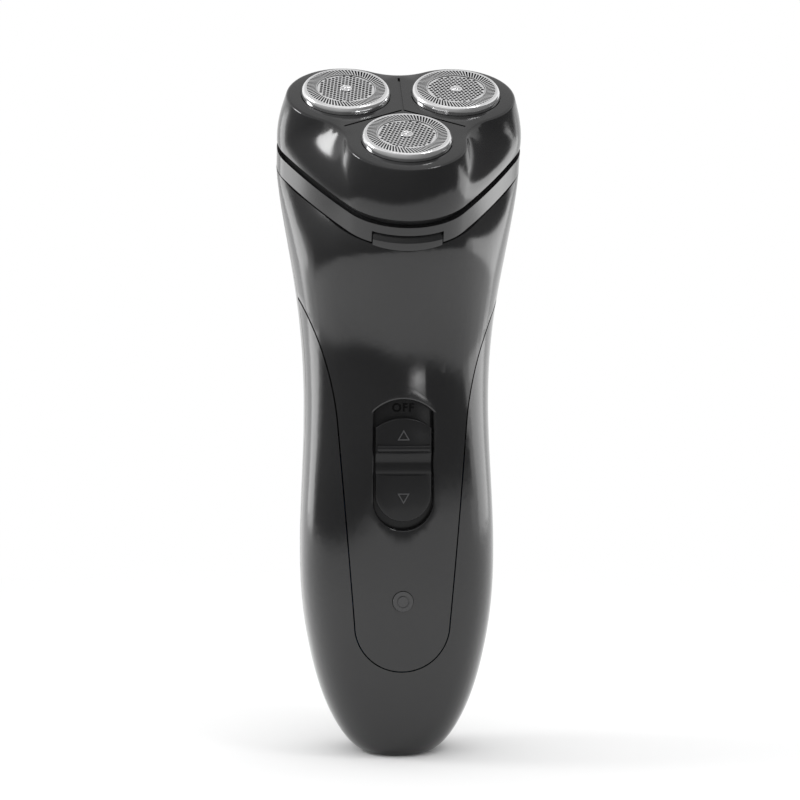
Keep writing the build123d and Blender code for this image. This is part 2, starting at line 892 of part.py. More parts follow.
# Indicator lens with its flange behind the cover, and the lamp on the board
lens_skin = rod_y(lens_radius, 0, lens_height, -60, -board_front) & handle_solid(lens_proud)
lens_ring = rod_y(lens_radius * 0.62, 0, lens_height, -60, -grip_front + 0.15)
lens_ring -= rod_y(lens_radius * 0.50, 0, lens_height, -60, -grip_front + 1)
lens_back = rod_y(lens_radius - 0.3, 0, lens_height, -board_front - 1.2, -board_front)
indicator_lens = lens_skin - lens_ring - lens_back
indicator_led = rod_y(led_radius, 0, lens_height, -board_front - 1.0, -board_front)

circuit_board = block(
    -board_half_width,
    board_half_width,
    -board_front,
    -board_front + board_thickness,
    board_bottom,
    board_top,
)

# Two cells in a tray that the ribs of the rear shell hold
cell_x = cell_radius + cell_gap / 2
cells = {}
for name, side in (("left", -1), ("right", 1)):
    can = rod(cell_radius, cell_bottom, cell_bottom + cell_length - cell_nub_height)
    cell_top = cell_bottom + cell_length
    can += rod(cell_nub_radius, cell_top - cell_nub_height - 0.1, cell_top)
    cells[name] = Pos(side * cell_x, cell_y, 0) * can
strap_low = cell_bottom - strap_thickness
strap_high = cell_bottom + cell_length + strap_thickness
tray_half = cell_x + cell_radius
battery_tray = block(
    -tray_half,
    tray_half,
    cell_y + cell_radius + tray_fit,
    tray_back,
    strap_low - tray_wall,
    strap_high + tray_wall,
)
tray_front = cell_y - cell_radius / 2
for low in (strap_low - tray_wall, strap_high):
    battery_tray += block(-tray_half + 2, tray_half - 2, tray_front, tray_back, low, low + tray_wall)
strap_front = cell_y - strap_half_width
strap_back = cell_y + strap_half_width
strap_reach = cell_x + strap_half_width
cell_straps = [block(-strap_reach, strap_reach, strap_front, strap_back, strap_low, cell_bottom)]
for side in (-1, 1):
    cell_straps.append(
        block(
            side * cell_x - strap_half_width,
            side * cell_x + strap_half_width,
            strap_front,
            strap_back,
            cell_bottom + cell_length,
            strap_high,
        )
    )

# Power inlet in the foot
floor_z = floor_share * grip_height
power_inlet = oblong(inlet_half_width, inlet_half_length, inlet_recess, inlet_top)
power_inlet += oblong(
    inlet_half_width + inlet_flange,
    inlet_half_length + inlet_flange,
    floor_z,
    floor_z + inlet_flange_thickness,
)
power_inlet -= oblong(
    inlet_half_width - inlet_wall,
    inlet_half_length - inlet_wall,
    -1,
    inlet_recess + inlet_well,
)
inlet_pins = []
for side in (-1, 1):
    pin_y = inlet_y + side * pin_spacing / 2
    pin = Pos(0, pin_y, 0) * rod(pin_radius, inlet_recess + pin_inset, inlet_top + 2)
    power_inlet -= pin
    inlet_pins.append(pin)

# Deck over the gears and the plate under them, both shaped by the inside of the handle
span = 60.0
drive_deck = liner_form & (head_place * block(-span, span, -span, span, deck_bottom, deck_top))
gear_plate = liner_form & (head_place * block(-span, span, -span, span, plate_bottom, plate_top))
gear_axles = []
for (x, y), angle in STATIONS.values():
    place = head_place * Pos(x, y, 0)
    drive_deck += place * rod(deck_boss_radius, deck_top - 0.1, deck_boss_rise)
    drive_deck -= place * rod(hub_radius + slide_fit, deck_bottom - 1, deck_boss_rise + 1)
    pin = place * rod(axle_radius, plate_bottom, gear_bottom + hub_floor + axle_reach)
    gear_plate -= pin
    gear_axles.append(pin)
gear_plate -= head_place * rod(motor_boss_radius + seat_fit, plate_bottom - 1, plate_top + 1)
release_room = head_place * release_notch(release_travel + 2.4, release_travel + 2.4, 0.0)
drive_deck -= release_room

cap, cap_inside = head_cap()
nodes = {
    "head_cap": head_place * cap,
    "neck_ring": head_place * neck_ring(),
    "collar": head_place * collar(),
    "hinge_pin": head_place * hinge_pin(),
    "retaining_frame": head_place * retaining_frame(cap_inside),
    "lock_knob": head_place * lock_knob(),
    "release_button": head_place * release_button(),
    "motor_pinion": head_place * motor_pinion(),
    "motor_can": head_place * motor_can(),
    "motor_end_cap": head_place * motor_end_cap(),
    "front_cover": front_cover,
    "grip_shell": grip_shell,
    "rear_shell": rear_shell,
    "switch_frame": switch_frame,
    "switch_button": switch_button,
    "switch_contact": switch_contact,
    "indicator_lens": indicator_lens,
    "indicator_led": indicator_led,
    "circuit_board": circuit_board,
    "cell_left": cells["left"],
    "cell_right": cells["right"],
    "battery_tray": battery_tray,
    "cell_straps": Compound(children=cell_straps),
    "power_inlet": power_inlet,
    "inlet_pins": Compound(children=inlet_pins),
    "drive_deck": drive_deck,
    "gear_plate": gear_plate,
    "gear_axles": Compound(children=gear_axles),
    "housing_screws": Compound(children=screws),
}
one_guard = guard()
one_cutter = cutter()
one_gear = drive_gear()
one_spindle = spindle()
one_spring = spindle_spring()
for name, ((x, y), angle) in STATIONS.items():
    place = head_place * Pos(x, y, 0)
    nodes["guard_" + name] = place * one_guard
    nodes["cutter_" + name] = place * one_cutter
    nodes["drive_gear_" + name] = place * Rot(0, 0, angle) * one_gear
    nodes["spindle_" + name] = place * one_spindle
    nodes["spindle_spring_" + name] = place * one_spring

# The origin is under the middle of the whole object, which the leaning head puts ahead of the
# handle's axis.
for name, shape in nodes.items():
    export_step(Pos(0, handle_axis_y, 0) * shape, f"parts/{name}.step")
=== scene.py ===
import json
import math
import bpy
from mathutils import Matrix, Vector


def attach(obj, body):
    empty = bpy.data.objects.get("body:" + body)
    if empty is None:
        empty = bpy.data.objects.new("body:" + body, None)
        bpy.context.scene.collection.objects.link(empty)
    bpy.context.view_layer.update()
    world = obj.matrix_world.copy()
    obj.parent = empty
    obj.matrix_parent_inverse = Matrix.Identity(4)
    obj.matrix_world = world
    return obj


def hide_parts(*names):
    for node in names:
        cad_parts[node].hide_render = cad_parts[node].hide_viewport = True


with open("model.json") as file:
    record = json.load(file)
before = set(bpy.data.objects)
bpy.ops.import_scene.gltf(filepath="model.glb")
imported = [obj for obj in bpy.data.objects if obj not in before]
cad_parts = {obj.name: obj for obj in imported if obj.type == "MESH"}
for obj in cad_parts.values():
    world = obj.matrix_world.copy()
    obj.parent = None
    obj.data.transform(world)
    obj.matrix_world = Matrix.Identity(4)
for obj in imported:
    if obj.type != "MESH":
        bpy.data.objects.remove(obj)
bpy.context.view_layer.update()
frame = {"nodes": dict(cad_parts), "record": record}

# Rear shell of the handle. One deep half moulded in black ABS with a polished cavity, so it
# comes out of the tool glossy, with the hinge knuckle moulded on and three screw wells.
MM = 0.001
PLASTIC_IOR = 1.58
DRIFT_SCALE = 45.0
DRIFT_DARK = (0.88, 0.88, 0.92)
DRIFT_LIGHT = (1.12, 1.12, 1.16)
DRIFT_STOPS = (0.3, 0.7)
SKIN_DEPTH = 0.02 * MM
FACET_WELD = 0.002 * MM
TRUE_EDGE = 28.0


def add_node(tree, kind, inputs=None):
    """A shader node of one kind, with the inputs that are given set on it."""
    node = tree.nodes.new("ShaderNode" + kind)
    for entry, value in (inputs or {}).items():
        node.inputs[entry].default_value = value
    return node


def link(tree, source, output, target, entry):
    tree.links.new(source.outputs[output], target.inputs[entry])


def new_finish(name):
    """A bare finish, its nodes, its shader and the coordinates of the piece that wears it."""
    material = bpy.data.materials.new(name)
    material.use_nodes = True
    tree = material.node_tree
    return material, tree, tree.nodes["Principled BSDF"], add_node(tree, "TexCoord")


def vary(tree, shader, pattern, tones, polish, spread):
    """Tone and polish that both follow one noise pattern."""
    tint = add_node(tree, "ValToRGB")
    for stop, tone in zip(tint.color_ramp.elements, tones):
        stop.color = (*tone, 1.0)
    gloss = add_node(
        tree,
        "MapRange",
        {"To Min": polish * (1.0 - spread), "To Max": polish * (1.0 + spread)},
    )
    link(tree, pattern, "Fac", tint, "Fac")
    link(tree, pattern, "Fac", gloss, "Value")
    link(tree, tint, "Color", shader, "Base Color")
    link(tree, gloss, "Result", shader, "Roughness")
    return tint


def moulded_black(name, tone, polish, grain, grain_size, shine=0.5):
    """Black moulded plastic: a slow drift of tone and polish, and a fine skin from the tool."""
    material, tree, shader, place = new_finish(name)
    shader.inputs["IOR"].default_value = PLASTIC_IOR
    shader.inputs["Specular IOR Level"].default_value = shine
    drift = add_node(tree, "TexNoise", {"Scale": DRIFT_SCALE, "Detail": 3.0})
    link(tree, place, "Object", drift, "Vector")
    tones = [[tone * share for share in shares] for shares in (DRIFT_DARK, DRIFT_LIGHT)]
    tint = vary(tree, shader, drift, tones, polish, spread=0.15)
    for stop, position in zip(tint.color_ramp.elements, DRIFT_STOPS):
        stop.position = position
    skin = add_node(tree, "TexNoise", {"Scale": 1.0 / grain_size, "Detail": 2.0})
    bump = add_node(tree, "Bump", {"Strength": grain, "Distance": SKIN_DEPTH})
    link(tree, place, "Object", skin, "Vector")
    link(tree, skin, "Fac", bump, "Height")
    link(tree, bump, "Normal", shader, "Normal")
    return material


def select_only(piece):
    bpy.ops.object.select_all(action="DESELECT")
    piece.select_set(True)
    bpy.context.view_layer.objects.active = piece


def body_of(node):
    bodies = frame["record"]["behaviour"]["bodies"]
    return next(body for body, members in bodies.items() if node in members)


def coat(mesh, *finishes):
    """These finishes on a mesh, in place of any that it has."""
    mesh.materials.clear()
    for finish in finishes:
        mesh.materials.append(finish)


def dress(finish, *nodes):
    """A finish for pieces that keep the shape they have."""
    for node in nodes:
        coat(frame["nodes"][node].data, finish)


def smooth_skin(node, finish):
    """The moulded piece itself, its facets merged into one smooth skin with true edges."""
    piece = bpy.data.objects.new(node + "_skin", frame["nodes"][node].data.copy())
    bpy.context.scene.collection.objects.link(piece)
    select_only(piece)
    bpy.ops.object.mode_set(mode="EDIT")
    bpy.ops.mesh.select_all(action="SELECT")
    bpy.ops.mesh.customdata_custom_splitnormals_clear()
    bpy.ops.mesh.remove_doubles(threshold=FACET_WELD)
    bpy.ops.object.mode_set(mode="OBJECT")
    bpy.ops.object.shade_smooth_by_angle(angle=math.radians(TRUE_EDGE))
    coat(piece.data, finish)
    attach(piece, body_of(node))
    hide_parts(node)
    return piece


gloss_black = moulded_black(
    "gloss_black", tone=0.010, polish=0.14, grain=0.08, grain_size=0.9 * MM
)
smooth_skin("rear_shell", gloss_black)

# Grip shell, the lower front half round the tongue of the front cover. The same glossy black
# ABS, screwed to the rear shell through the boss above the inlet.
smooth_skin("grip_shell", gloss_black)

# Inlet in the foot: a satin black socket with two drawn steel pins, pressed into the floor of
# the handle from inside.
satin_black = moulded_black(
    "satin_black", tone=0.018, polish=0.34, grain=0.18, grain_size=0.35 * MM
)


def tones_round(colour, share):
    """A darker and a lighter tone, each that share away from a colour."""
    return [tuple(min(1.0, c * (1.0 + s)) for c in colour) for s in (-share, share)]


def bare_metal(name, colour, polish, mark_scale, marks):
    """Solid metal with faint drawn or ground marks in its tone and polish."""
    material, tree, shader, place = new_finish(name)
    shader.inputs["Metallic"].default_value = 1.0
    stretch = add_node(tree, "Mapping", {"Scale": mark_scale})
    wear = add_node(tree, "TexNoise", {"Scale": 1.0, "Detail": 4.0})
    link(tree, place, "Object", stretch, "Vector")
    link(tree, stretch, "Vector", wear, "Vector")
    vary(tree, shader, wear, tones_round(colour, marks), polish, spread=0.25)
    return material


drawn_steel = bare_metal(
    "drawn_steel",
    colour=(0.60, 0.60, 0.62),
    polish=0.28,
    mark_scale=(2500.0, 2500.0, 300.0),
    marks=0.10,
)
dress(satin_black, "power_inlet")
dress(drawn_steel, "inlet_pins")

# Two cells in their tray, joined by welded steel straps. Each cell is a can in a blue shrink
# sleeve, and the tray is held by the ribs of the rear shell.
CELL_BLUE = (0.08, 0.22, 0.48)
CLOUDINESS = 0.14


def moulded_colour(name, colour, polish, patch_size):
    """Coloured plastic, sleeve or coating with a slight cloudiness."""
    material, tree, shader, place = new_finish(name)
    cloud = add_node(tree, "TexNoise", {"Scale": 1.0 / patch_size, "Detail": 3.0})
    link(tree, place, "Object", cloud, "Vector")
    vary(tree, shader, cloud, tones_round(colour, CLOUDINESS), polish, spread=0.15)
    return material


cell_sleeve = moulded_colour("cell_sleeve", CELL_BLUE, polish=0.22, patch_size=6.0 * MM)
dress(cell_sleeve, "cell_left", "cell_right")
dress(drawn_steel, "cell_straps")
dress(satin_black, "battery_tray")

# Circuit board on the standoffs of the front cover, green coated laminate, with the small red
# lamp soldered on its front face.
BOARD_GREEN = (0.04, 0.18, 0.08)
LAMP_RED = (0.55, 0.10, 0.08)
board_green = moulded_colour("board_green", BOARD_GREEN, polish=0.38, patch_size=3.0 * MM)
lamp_resin = moulded_colour("lamp_resin", LAMP_RED, polish=0.20, patch_size=1.0 * MM)
dress(board_green, "circuit_board")
dress(lamp_resin, "indicator_led")

# Motor under the gear plate: a drawn steel can with flattened sides, a moulded end cap with two
# terminals, and a turned brass pinion on its shaft.
motor_steel = bare_metal(
    "motor_steel",
    colour=(0.50, 0.50, 0.52),
    polish=0.30,
    mark_scale=(300.0, 300.0, 2500.0),
    marks=0.10,
)
turned_brass = bare_metal(
    "turned_brass",
    colour=(0.62, 0.47, 0.20),
    polish=0.26,
    mark_scale=(900.0, 900.0, 3000.0),
    marks=0.12,
)
dress(motor_steel, "motor_can")
dress(satin_black, "motor_end_cap")
dress(turned_brass, "motor_pinion")

# Gear train: three acetal gears on steel axles in the gear plate, each with a hexagonal bore
# that drives a sprung spindle up into its cutter. The deck covers it under the head.
SIDES = ("front", "left", "right")
ACETAL = (0.62, 0.61, 0.56)
acetal_white = moulded_colour("acetal_white", ACETAL, polish=0.42, patch_size=2.5 * MM)
chamber_black = moulded_black(
    "chamber_black", tone=0.016, polish=0.48, grain=0.25, grain_size=0.3 * MM
)
dress(satin_black, "gear_plate")
dress(drawn_steel, "gear_axles")
dress(chamber_black, "drive_deck")
for side in SIDES:
    dress(acetal_white, "drive_gear_" + side, "spindle_" + side)
    dress(drawn_steel, "spindle_spring_" + side)

# Front cover: the whole front of the neck and the long tongue down the grip, in the same
# polished black as the shells, laid into them with a fine shadow line all round. Three steel
# screws from the back close the handle.
smooth_skin("front_cover", gloss_black)
dress(drawn_steel, "housing_screws")

# Slide switch: a frame with a soft raised rim set in the cover, and a thumb button that slides
# in it. The floor of the well is less shiny than its rim, and the word moulded there shows
# while the button is in its lower place.
WELL_FLOOR_Y = -9.4 * MM
FLOOR_WITHIN = 0.2 * MM
FLOOR_FACING = -0.9
FLOOR_FINISH = 1
WORD_CENTRE_Z = 84.25 * MM
WORD_HEIGHT = 1.9 * MM
SIZE_PER_HEIGHT = 1.42
WORD_SPACING = 1.15
WORD_WEIGHT = 0.02 * MM
WORD_DEPTH = 0.10 * MM
WORD_BEVEL = 0.04 * MM

switch_well = smooth_skin("switch_frame", gloss_black)
button_black = moulded_black(
    "button_black", tone=0.011, polish=0.22, grain=0.10, grain_size=0.5 * MM, shine=0.22
)
smooth_skin("switch_button", button_black)
dress(turned_brass, "switch_contact")
switch_well.data.materials.append(button_black)
for face in switch_well.data.polygons:
    on_floor = abs(face.center.y - WELL_FLOOR_Y) < FLOOR_WITHIN
    if on_floor and face.normal.y < FLOOR_FACING:
        face.material_index = FLOOR_FINISH

matt_print = moulded_black(
    "matt_print", tone=0.004, polish=0.60, grain=0.10, grain_size=0.3 * MM, shine=0.05
)
bpy.ops.object.select_all(action="DESELECT")
bpy.ops.object.text_add(location=(0.0, 0.0, 0.0))
off_word = bpy.context.object
off_word.name = "off_word"
off_word.data.body = "OFF"
off_word.data.align_x = "CENTER"
off_word.data.align_y = "CENTER"
off_word.data.size = WORD_HEIGHT * SIZE_PER_HEIGHT
off_word.data.space_character = WORD_SPACING
off_word.data.offset = WORD_WEIGHT
off_word.data.extrude = WORD_DEPTH
off_word.data.bevel_depth = WORD_BEVEL
select_only(off_word)
bpy.ops.object.convert(target="MESH")
off_word = bpy.context.object
off_word.data.name = "off_word"
off_word.rotation_euler = (math.radians(90.0), 0.0, 0.0)
off_word.location = (0.0, WELL_FLOOR_Y, WORD_CENTRE_Z)
bpy.ops.object.transform_apply(location=True, rotation=True, scale=True)
coat(off_word.data, matt_print)
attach(off_word, "handle")

# Two raised outline arrows moulded on the thumb button, one towards each end of its travel.
# Each follows the crown of the button.
ARROW_RADIUS = 1.66 * MM
ARROW_LINE = 0.26 * MM
ARROW_LIFT = 0.06 * MM
ARROW_DEPTH = 0.144 * MM
ARROW_CUTS = 3
AHEAD_OF_BUTTON = -30.0 * MM
ARROW_UP_Z = 77.75 * MM
ARROW_DOWN_Z = 63.65 * MM
scuffed_black = moulded_black(
    "scuffed_black", tone=0.045, polish=0.45, grain=0.25, grain_size=0.2 * MM
)


def outline_arrow(name, centre_z, turn):
    """A triangle's outline, laid back onto the button from a place ahead of it."""
    bpy.ops.object.select_all(action="DESELECT")
    bpy.ops.mesh.primitive_circle_add(vertices=3, radius=ARROW_RADIUS, fill_type="NGON")
    arrow = bpy.context.object
    arrow.name = name
    bpy.ops.object.mode_set(mode="EDIT")
    bpy.ops.mesh.select_all(action="SELECT")
    bpy.ops.mesh.inset(thickness=ARROW_LINE)
    bpy.ops.mesh.delete(type="FACE")
    bpy.ops.mesh.select_all(action="SELECT")
    bpy.ops.mesh.subdivide(number_cuts=ARROW_CUTS)
    bpy.ops.object.mode_set(mode="OBJECT")
    arrow.rotation_euler = (math.radians(90.0), math.radians(turn), 0.0)
    arrow.location = (0.0, AHEAD_OF_BUTTON, centre_z)
    bpy.ops.object.transform_apply(location=True, rotation=True, scale=True)
    lay = arrow.modifiers.new("lay", "SHRINKWRAP")
    lay.target = frame["nodes"]["switch_button"]
    lay.wrap_method = "PROJECT"
    lay.use_project_y = True
    lay.use_positive_direction = True
    lay.use_negative_direction = False
    lay.offset = ARROW_LIFT
    bpy.ops.object.modifier_apply(modifier="lay")
    depth = arrow.modifiers.new("depth", "SOLIDIFY")
    depth.thickness = ARROW_DEPTH
    depth.offset = 0.0
    bpy.ops.object.modifier_apply(modifier="depth")
    coat(arrow.data, scuffed_black)
    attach(arrow, "switch")


outline_arrow("arrow_up", ARROW_UP_Z, turn=0.0)
outline_arrow("arrow_down", ARROW_DOWN_Z, turn=180.0)

# Indicator lens: a smoked round button, ringed on its face, snapped into the tongue over the
# lamp.
smoked_lens = moulded_black(
    "smoked_lens", tone=0.028, polish=0.14, grain=0.06, grain_size=0.5 * MM
)
smooth_skin("indicator_lens", smoked_lens)

# Collar and hinge: the glossy band under the head, which swings on a steel pin at the back, and
# the release button that catches it at the front.
smooth_skin("collar", gloss_black)
smooth_skin("release_button", gloss_black)
dress(drawn_steel, "hinge_pin")

# Head: the hair chamber's ring, matt black, and the lobed cap that carries the three shaving
# heads, moulded in polished black with a Y-shaped groove in its face.
dress(chamber_black, "neck_ring")
smooth_skin("head_cap", gloss_black)

# Retaining frame and its lock under the cap, satin black mouldings. The frame holds the three
# cutters in, and the winged knob in its middle is turned to let it go.
dress(satin_black, "retaining_frame", "lock_knob")

# Cutters: ground steel discs with a ring of upright blades, which turn just under the guards.
# A slot in each hub takes the flat tip of its spindle.
ground_steel = bare_metal(
    "ground_steel",
    colour=(0.30, 0.30, 0.31),
    polish=0.42,
    mark_scale=(1800.0, 1800.0, 1800.0),
    marks=0.15,
)
for side in SIDES:
    dress(ground_steel, "cutter_" + side)

# Guards: each one a cup of polished sheet steel, rolled at the rim, with a ring of slanted slots
# and a punched middle round a plain domed boss. The face is lapped flat, and the cut edges and
# the underside of the face are painted near black, as painted shade in the slots and holes. The
# three are the same part.
HEAD_SEAT = (0.0, 4.55 * MM, 136.6 * MM)
HEAD_TILT = 28.0
HEAD = Matrix.Translation(HEAD_SEAT) @ Matrix.Rotation(math.radians(HEAD_TILT), 4, "X")
CUTTER_CIRCLE = 15.0 * MM
GUARD_TOP = 21.25 * MM
SHEET = 0.14 * MM
SHEET_EDGE = 32.0
LAPPED_FACING = 0.97
LAPPED_FINISH = 1
PAINTED_SHADE_FINISH = 2

polished_steel = bare_metal(
    "polished_steel",
    colour=(0.92, 0.92, 0.93),
    polish=0.15,
    mark_scale=(700.0, 700.0, 700.0),
    marks=0.10,
)
# Near-black steel: painted shade for the cut edges and the underside of the slotted and punched
# face.
shade_painted_steel = bare_metal(
    "shade_painted_steel",
    colour=(0.03, 0.03, 0.031),
    polish=0.50,
    mark_scale=(1800.0, 1800.0, 1800.0),
    marks=0.15,
)
lapped_steel = bare_metal(
    "lapped_steel",
    colour=(0.95, 0.95, 0.96),
    polish=0.20,
    mark_scale=(900.0, 900.0, 900.0),
    marks=0.06,
)


def pick_faces(piece, wanted):
    """Opens the active piece in edit mode with only these faces selected."""
    mesh = piece.data
    for group in (mesh.vertices, mesh.edges, mesh.polygons):
        group.foreach_set("select", [False] * len(group))
    for face in wanted:
        face.select = True
    bpy.ops.object.mode_set(mode="EDIT")
    bpy.ops.mesh.select_mode(type="FACE")


def cut_out(piece, faces):
    pick_faces(piece, faces)
    bpy.ops.mesh.delete(type="FACE")
    bpy.ops.object.mode_set(mode="OBJECT")


def some_of_ring(piece, middle, within, steps, taken):
    """Faces of the ring at one radius: the first few out of every so many steps round it."""
    ring = [f for f in piece.data.polygons if abs(f.center.xy.length - middle) < within]
    ring.sort(key=lambda f: math.atan2(f.center.y, f.center.x))
    return [f for step, f in enumerate(ring) if step % steps < taken]


def turned_skin(name, count, start, profile):
    """A sheet skin drawn ring by ring. Each entry is a radius and a height, and where the ring
    is also turned, an angle in degrees."""
    radius, height = start
    bpy.ops.object.select_all(action="DESELECT")
    bpy.ops.mesh.primitive_circle_add(
        vertices=count, radius=radius, location=(0.0, 0.0, height)
    )
    piece = bpy.context.object
    piece.name = name
    bpy.ops.object.transform_apply(location=True)
    bpy.ops.object.mode_set(mode="EDIT")
    bpy.ops.mesh.select_mode(type="EDGE")
    bpy.ops.mesh.select_all(action="SELECT")
    for next_radius, next_height, *turns in profile:
        bpy.ops.mesh.extrude_region()
        share = next_radius / radius
        bpy.ops.transform.resize(
            value=(share, share, 1.0), center_override=(0.0, 0.0, height)
        )
        bpy.ops.transform.translate(value=(0.0, 0.0, next_height - height))
        for turn in turns:
            bpy.ops.transform.rotate(
                value=math.radians(turn),
                orient_axis="Z",
                center_override=(0.0, 0.0, next_height),
            )
        radius, height = next_radius, next_height
    bpy.ops.object.mode_set(mode="OBJECT")
    return piece


SLOT_COUNT = 72
SLOT_STEPS = 5
SLOT_OPEN = 3
SLOT_INNER = 7.0 * MM
SLOT_OUTER = 9.25 * MM
SLOT_MIDDLE = (SLOT_INNER + SLOT_OUTER) / 2
SLOT_WITHIN = 0.5 * MM
SLOT_SLANT = 7.0
RIM_START = (11.3 * MM, -4.35 * MM)
RING_PROFILE = (
    (11.3 * MM, -3.75 * MM),
    (10.42 * MM, -3.72 * MM),
    (10.42 * MM, -1.15 * MM),
    (10.34 * MM, -0.80 * MM),
    (10.12 * MM, -0.42 * MM),
    (9.86 * MM, -0.14 * MM),
    (9.62 * MM, -0.02 * MM),
    (9.42 * MM, -0.03 * MM),
    (SLOT_OUTER, -0.10 * MM),
    (SLOT_INNER, -0.10 * MM, SLOT_SLANT),
    (6.86 * MM, -0.12 * MM),
    (6.74 * MM, -0.26 * MM),
    (6.60 * MM, -0.27 * MM),
)
guard_ring = turned_skin("guard_ring", SLOT_STEPS * SLOT_COUNT, RIM_START, RING_PROFILE)
cut_out(guard_ring, some_of_ring(guard_ring, SLOT_MIDDLE, SLOT_WITHIN, SLOT_STEPS, SLOT_OPEN))

HOLE_PITCH = 0.95 * MM
HOLE_EDGE = 0.12 * MM
HOLES_FROM = 1.6 * MM
HOLES_TO = 6.3 * MM
PUNCHED_TO = 6.95 * MM
PUNCHED_DROP = 0.28 * MM
PUNCHED_SHEET = 0.05 * MM
CELL_WELD = 0.005 * MM
bpy.ops.object.select_all(action="DESELECT")
bpy.ops.mesh.primitive_circle_add(
    vertices=6, radius=HOLE_PITCH / math.sqrt(3.0), fill_type="NGON"
)
guard_punching = bpy.context.object
guard_punching.name = "guard_punching"
bpy.ops.object.mode_set(mode="EDIT")
bpy.ops.mesh.select_all(action="SELECT")
bpy.ops.mesh.inset(thickness=HOLE_EDGE)
bpy.ops.mesh.select_all(action="SELECT")
bpy.ops.mesh.duplicate()
row_step = HOLE_PITCH * math.sqrt(3.0)
bpy.ops.transform.translate(value=(HOLE_PITCH / 2, row_step / 2, 0.0))
bpy.ops.object.mode_set(mode="OBJECT")
columns = 2 * math.ceil(PUNCHED_TO / HOLE_PITCH) + 1
rows = 2 * math.ceil(PUNCHED_TO / row_step) + 1
for label, amount, step in (
    ("across", columns, (HOLE_PITCH, 0.0, 0.0)),
    ("along", rows, (0.0, row_step, 0.0)),
):
    repeat = guard_punching.modifiers.new(label, "ARRAY")
    repeat.count = amount
    repeat.use_relative_offset = False
    repeat.use_constant_offset = True
    repeat.constant_offset_displace = step
    bpy.ops.object.modifier_apply(modifier=label)
guard_punching.location = (
    -(columns // 2) * HOLE_PITCH,
    -(rows // 2) * row_step,
    -PUNCHED_DROP,
)
bpy.ops.object.transform_apply(location=True)
bpy.ops.object.mode_set(mode="EDIT")
bpy.ops.mesh.select_all(action="SELECT")
bpy.ops.mesh.remove_doubles(threshold=CELL_WELD)
bpy.ops.object.mode_set(mode="OBJECT")
punched = []
for face in guard_punching.data.polygons:
    reach = face.center.xy.length
    is_hole = len(face.vertices) == 6 and HOLES_FROM < reach < HOLES_TO
    if is_hole or reach > PUNCHED_TO:
        punched.append(face)
cut_out(guard_punching, punched)

BOSS_SIDES = 24
BOSS_START = (1.45 * MM, -0.30 * MM)
BOSS_PROFILE = (
    (1.42 * MM, -0.12 * MM),
    (1.30 * MM, -0.02 * MM),
    (1.14 * MM, 0.00 * MM),
    (1.02 * MM, -0.10 * MM),
    (0.40 * MM, -0.10 * MM),
    (0.30 * MM, 0.03 * MM),
    (0.10 * MM, 0.06 * MM),
)
HOLLOW_MIDDLE = 0.70 * MM
HOLLOW_WITHIN = 0.1 * MM
SPOKE_STEPS = 4
SPOKE_WIDTH = 2
SPOKE_EDGE = 0.05 * MM
SPOKE_RISE = 0.12 * MM
guard_boss = turned_skin("guard_boss", BOSS_SIDES, BOSS_START, BOSS_PROFILE)
bpy.ops.object.mode_set(mode="EDIT")
bpy.ops.mesh.edge_face_add()
bpy.ops.object.mode_set(mode="OBJECT")
pick_faces(
    guard_boss,
    some_of_ring(guard_boss, HOLLOW_MIDDLE, HOLLOW_WITHIN, SPOKE_STEPS, SPOKE_WIDTH),
)
bpy.ops.mesh.inset(thickness=SPOKE_EDGE)
bpy.ops.transform.translate(value=(0.0, 0.0, SPOKE_RISE))
bpy.ops.object.mode_set(mode="OBJECT")

for part, thickness in (
    (guard_ring, SHEET),
    (guard_punching, PUNCHED_SHEET),
    (guard_boss, SHEET),
):
    select_only(part)
    bpy.ops.object.mode_set(mode="EDIT")
    bpy.ops.mesh.select_all(action="SELECT")
    bpy.ops.mesh.normals_make_consistent(inside=False)
    bpy.ops.object.mode_set(mode="OBJECT")
    highest = max(part.data.polygons, key=lambda f: f.center.z)
    if highest.normal.z < 0.0:
        bpy.ops.object.mode_set(mode="EDIT")
        bpy.ops.mesh.flip_normals()
        bpy.ops.object.mode_set(mode="OBJECT")
    gauge = part.modifiers.new("gauge", "SOLIDIFY")
    gauge.thickness = thickness
    gauge.offset = -1.0
    bpy.ops.object.modifier_apply(modifier="gauge")
select_only(guard_ring)
guard_punching.select_set(True)
guard_boss.select_set(True)
bpy.ops.object.join()
bpy.ops.object.shade_smooth_by_angle(angle=math.radians(SHEET_EDGE))
coat(guard_ring.data, polished_steel, lapped_steel, shade_painted_steel)
# In the slotted and punched ring, the flat top faces are lapped and every other face gets the
# painted shade.
for face in guard_ring.data.polygons:
    if HOLES_FROM < face.center.xy.length < SLOT_OUTER:
        lapped = face.normal.z > LAPPED_FACING
        face.material_index = LAPPED_FINISH if lapped else PAINTED_SHADE_FINISH

half = CUTTER_CIRCLE / 2
aside = CUTTER_CIRCLE * math.sin(math.radians(60.0))
GUARD_SITES = {
    "front": (0.0, -CUTTER_CIRCLE, 12.0),
    "left": (-aside, half, 24.0),
    "right": (aside, half, -9.0),
}
for side, (x, y, turn) in GUARD_SITES.items():
    guard = bpy.data.objects.new("guard_" + side + "_grille", guard_ring.data.copy())
    bpy.context.scene.collection.objects.link(guard)
    seat = HEAD @ Matrix.Translation((x, y, GUARD_TOP))
    guard.matrix_world = seat @ Matrix.Rotation(math.radians(turn), 4, "Z")
    select_only(guard)
    bpy.ops.object.transform_apply(location=True, rotation=True, scale=True)
    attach(guard, side + "_guard")
    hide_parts("guard_" + side)
bpy.data.objects.remove(guard_ring)

